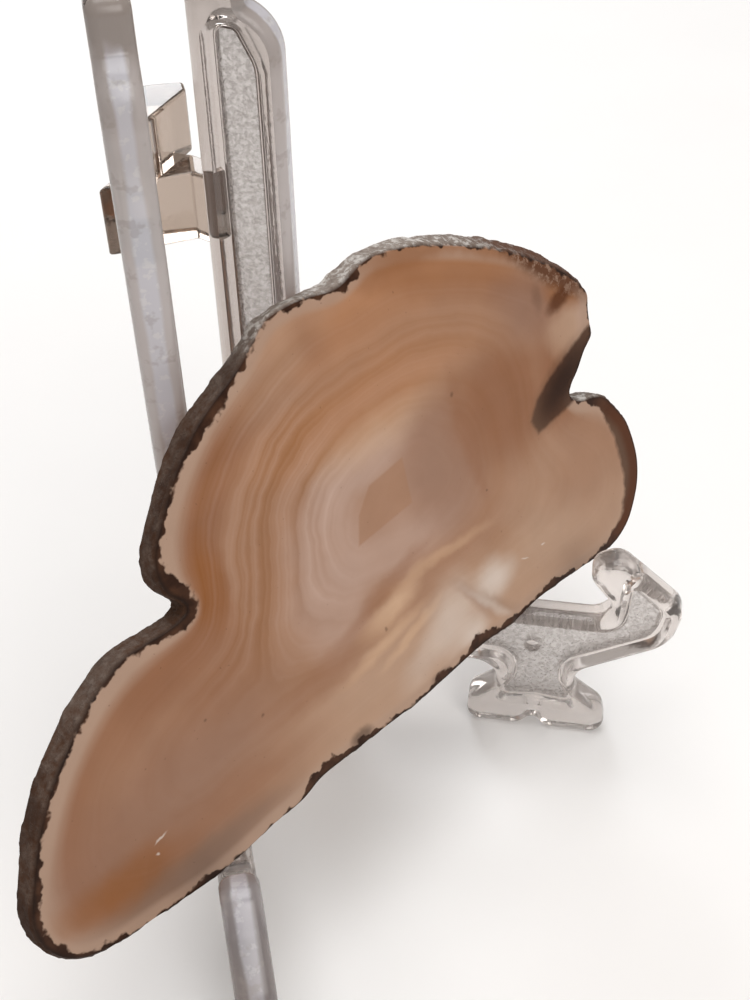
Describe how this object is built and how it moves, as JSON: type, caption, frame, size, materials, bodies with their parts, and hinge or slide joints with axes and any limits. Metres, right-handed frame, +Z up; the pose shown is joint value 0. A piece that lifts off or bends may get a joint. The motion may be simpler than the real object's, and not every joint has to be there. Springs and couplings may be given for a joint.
{
  "type": "agate slice on folding stand",
  "caption": "Thin polished agate slice leaning on a clear plastic easel stand, whose side frames fold on a hinge.",
  "frame": {"origin": "middle of the bounding box, at the plane that the stand's feet stand on", "axes": "+Z up, -Y towards the polished front of the slice, +X to the right as seen from the front"},
  "size_m": [0.1184, 0.066, 0.1253],
  "materials": {
    "polished_agate": "banded, polished on the front face, sawn behind, rough natural rim",
    "clear_plastic": "clear, warm tint, moulded, gloss rims around a lightly stippled sunk web"
  },
  "bodies": {
    "right_half": {"right_side_frame": "clear_plastic", "agate_slice": "polished_agate"},
    "left_half": {"left_side_frame": "clear_plastic"}
  },
  "joints": [
    {"name": "frame_fold", "type": "hinge", "parent": "right_half", "child": "left_half", "pos_m": [-0.00131, 0.02873, 0.1], "axis": [0, 0, 1], "range_deg": [-10, 12]}
  ]
}
